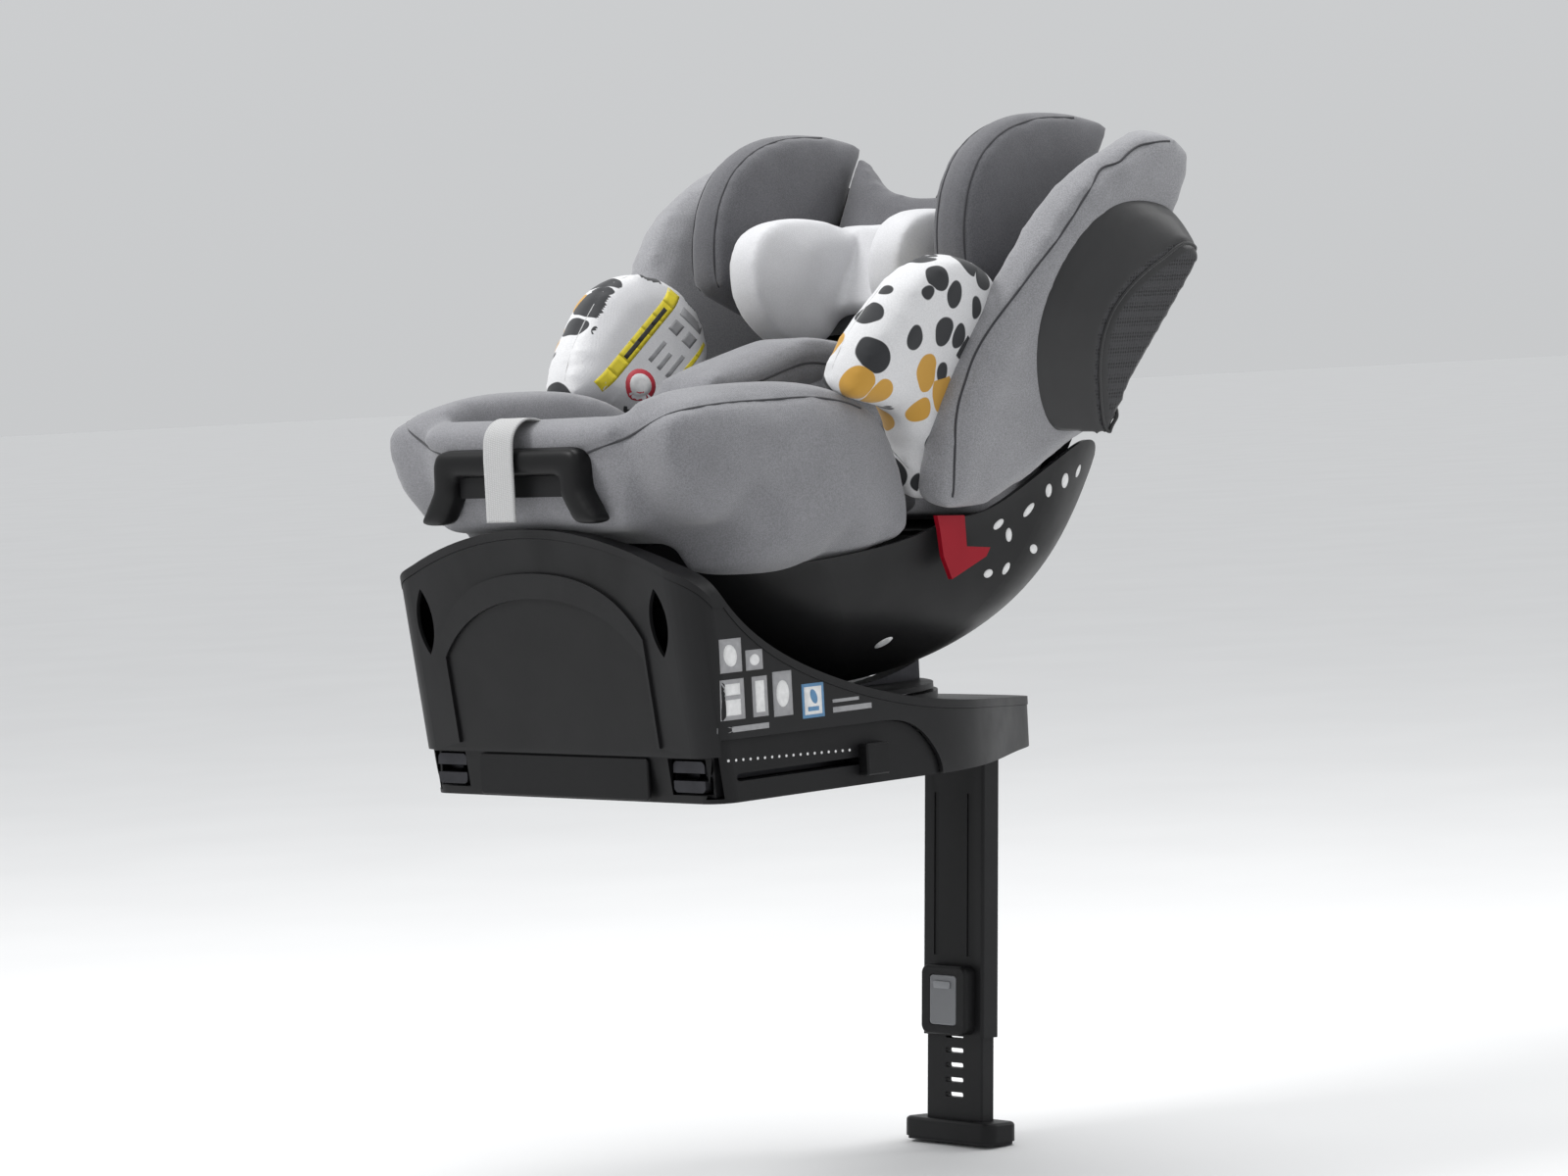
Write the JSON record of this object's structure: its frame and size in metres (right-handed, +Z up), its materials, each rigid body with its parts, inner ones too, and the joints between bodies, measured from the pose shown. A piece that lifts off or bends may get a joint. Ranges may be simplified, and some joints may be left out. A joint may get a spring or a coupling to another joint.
{
  "type": "convertible car seat",
  "caption": "Rear-facing convertible child car seat: padded reclining shell turning on a base with sliding rigid anchor arms and a folding telescopic load leg.",
  "frame": {"origin": "the seat's turning axis on the plane of the base's underside", "axes": "+Z up, square to the underside; -Y towards the vehicle seat's backrest, which the anchor arms point at and the child faces; +Y towards the load leg; +X to the child's right hand"},
  "size_m": [0.5656, 0.5914, 0.8823],
  "materials": {
    "charcoal_plastic": "fine moulded grain",
    "black_plastic": "fine moulded grain",
    "painted_steel": "satin black paint",
    "bright_steel": "zinc plated",
    "grey_button": "satin",
    "red_plastic": "satin",
    "rubber": "matte",
    "grey_knit": "melange knit",
    "slate_knit": "melange knit",
    "white_jersey": "soft jersey",
    "spotted_jersey": "soft jersey with printed ovals",
    "black_satin": "satin with a mesh back",
    "pale_webbing": "woven webbing",
    "dark_webbing": "woven webbing"
  },
  "bodies": {
    "base": {"base_deck": "charcoal_plastic", "base_housing": "charcoal_plastic", "base_tray": "black_plastic", "front_bottom_cover": "black_plastic", "lower_back_cover": "black_plastic", "base_frame": "painted_steel", "leg_hinge_bracket": "painted_steel", "leg_hinge_pin": "bright_steel", "base_screws": "bright_steel", "turntable_bearing": "bright_steel", "spin_pivot": "bright_steel", "isofix_guides": "black_plastic"},
    "spin_lever": {"spin_release_lever": "black_plastic"},
    "isofix_left": {"isofix_arm_left": "painted_steel", "isofix_head_left": "painted_steel", "isofix_slider_left": "black_plastic"},
    "isofix_right": {"isofix_arm_right": "painted_steel", "isofix_head_right": "painted_steel", "isofix_slider_right": "black_plastic"},
    "jaw_left": {"isofix_jaw_left": "bright_steel"},
    "jaw_right": {"isofix_jaw_right": "bright_steel"},
    "release_left": {"isofix_release_left": "black_plastic"},
    "release_right": {"isofix_release_right": "black_plastic"},
    "leg_outer": {"leg_outer_tube": "charcoal_plastic", "leg_collar": "charcoal_plastic"},
    "leg_inner": {"leg_inner_tube": "charcoal_plastic", "leg_foot": "charcoal_plastic", "foot_sole": "rubber"},
    "leg_catch": {"leg_button": "grey_button"},
    "turntable": {"turntable_plate": "black_plastic", "recline_rails": "painted_steel"},
    "seat": {"seat_shell": "charcoal_plastic", "backrest_shell": "black_plastic", "seat_cushion": "grey_knit", "side_bolster_left": "grey_knit", "side_bolster_right": "grey_knit", "backrest_pad": "grey_knit", "wing_pad_left": "grey_knit", "wing_pad_right": "grey_knit", "belt_guides": "red_plastic", "torso_pad_left": "spotted_jersey", "torso_pad_right": "spotted_jersey", "harness_straps": "dark_webbing", "harness_pads": "grey_knit", "crotch_pad": "grey_knit", "crotch_strap": "dark_webbing", "buckle": "black_plastic", "recline_handle": "black_plastic", "adjuster_strap": "pale_webbing"},
    "recline_grip": {"recline_lever": "black_plastic"},
    "buckle_catch": {"buckle_button": "red_plastic"},
    "adjuster_catch": {"adjuster_button": "grey_button"},
    "headrest": {"headrest_shell": "black_plastic", "headrest_wing_left": "slate_knit", "headrest_wing_right": "slate_knit", "headrest_pad": "slate_knit", "head_insert": "white_jersey"},
    "headrest_grip": {"headrest_handle": "black_plastic"},
    "pod_left": {"impact_pod_left": "black_satin"},
    "pod_right": {"impact_pod_right": "black_satin"}
  },
  "joints": [
    {"name": "spin_lever_press", "type": "slide", "parent": "base", "child": "spin_lever", "axis": [0, -1, 0], "range_m": [0, 0.004], "stiffness_N_per_m": 500},
    {"name": "isofix_slide_left", "type": "slide", "parent": "base", "child": "isofix_left", "axis": [0, -1, 0], "range_m": [0, 0.12]},
    {"name": "isofix_slide_right", "type": "slide", "parent": "base", "child": "isofix_right", "axis": [0, -1, 0], "range_m": [0, 0.12]},
    {"name": "jaw_hinge_left", "type": "hinge", "parent": "isofix_left", "child": "jaw_left", "pos_m": [0.14, -0.24376, 0.01232], "axis": [1, 0, 0], "range_deg": [0, 35], "stiffness_Nm_per_rad": 0.02},
    {"name": "jaw_hinge_right", "type": "hinge", "parent": "isofix_right", "child": "jaw_right", "pos_m": [-0.14, -0.24376, 0.01232], "axis": [1, 0, 0], "range_deg": [0, 35], "stiffness_Nm_per_rad": 0.02},
    {"name": "release_press_left", "type": "slide", "parent": "isofix_left", "child": "release_left", "axis": [0, 0, -1], "range_m": [0, 0.002], "stiffness_N_per_m": 400},
    {"name": "release_press_right", "type": "slide", "parent": "isofix_right", "child": "release_right", "axis": [0, 0, -1], "range_m": [0, 0.002], "stiffness_N_per_m": 400},
    {"name": "leg_fold", "type": "hinge", "parent": "base", "child": "leg_outer", "pos_m": [0, 0.2024, 0.01936], "axis": [-1, 0, 0], "range_deg": [0, 85]},
    {"name": "leg_length", "type": "slide", "parent": "leg_outer", "child": "leg_inner", "axis": [0, 0.0785, 0.9969], "range_m": [-0.07, 0.066]},
    {"name": "leg_button_press", "type": "slide", "parent": "leg_outer", "child": "leg_catch", "axis": [0, 0.9969, -0.0785], "range_m": [0, 0.0025], "stiffness_N_per_m": 500},
    {"name": "seat_spin", "type": "hinge", "parent": "base", "child": "turntable", "pos_m": [0, 0, 0.0616], "axis": [0, 0, 1], "continuous": true},
    {"name": "recline", "type": "hinge", "parent": "turntable", "child": "seat", "pos_m": [0, 0, 0.3608], "axis": [-1, 0, 0], "range_deg": [0, 14]},
    {"name": "recline_lever_pull", "type": "slide", "parent": "seat", "child": "recline_grip", "axis": [0, -1, 0], "range_m": [0, 0.006], "stiffness_N_per_m": 500},
    {"name": "buckle_press", "type": "slide", "parent": "seat", "child": "buckle_catch", "axis": [0, 1, 0], "range_m": [0, 0.002], "stiffness_N_per_m": 500},
    {"name": "adjuster_press", "type": "slide", "parent": "seat", "child": "adjuster_catch", "axis": [0, -0.7071, -0.7071], "range_m": [0, 0.0015], "stiffness_N_per_m": 500},
    {"name": "headrest_height", "type": "slide", "parent": "seat", "child": "headrest", "axis": [0, 0.4226, 0.9063], "range_m": [0, 0.08]},
    {"name": "headrest_handle_pull", "type": "slide", "parent": "headrest", "child": "headrest_grip", "axis": [0, 0.4226, 0.9063], "range_m": [0, 0.005], "stiffness_N_per_m": 500},
    {"name": "pod_fold_left", "type": "hinge", "parent": "seat", "child": "pod_left", "pos_m": [0.23418, 0.05808, 0.3696], "axis": [-0.2401, -0.3042, -0.9218], "range_deg": [0, 25]},
    {"name": "pod_fold_right", "type": "hinge", "parent": "seat", "child": "pod_right", "pos_m": [-0.23418, 0.05808, 0.3696], "axis": [-0.2401, 0.3042, 0.9218], "range_deg": [0, 25]}
  ]
}
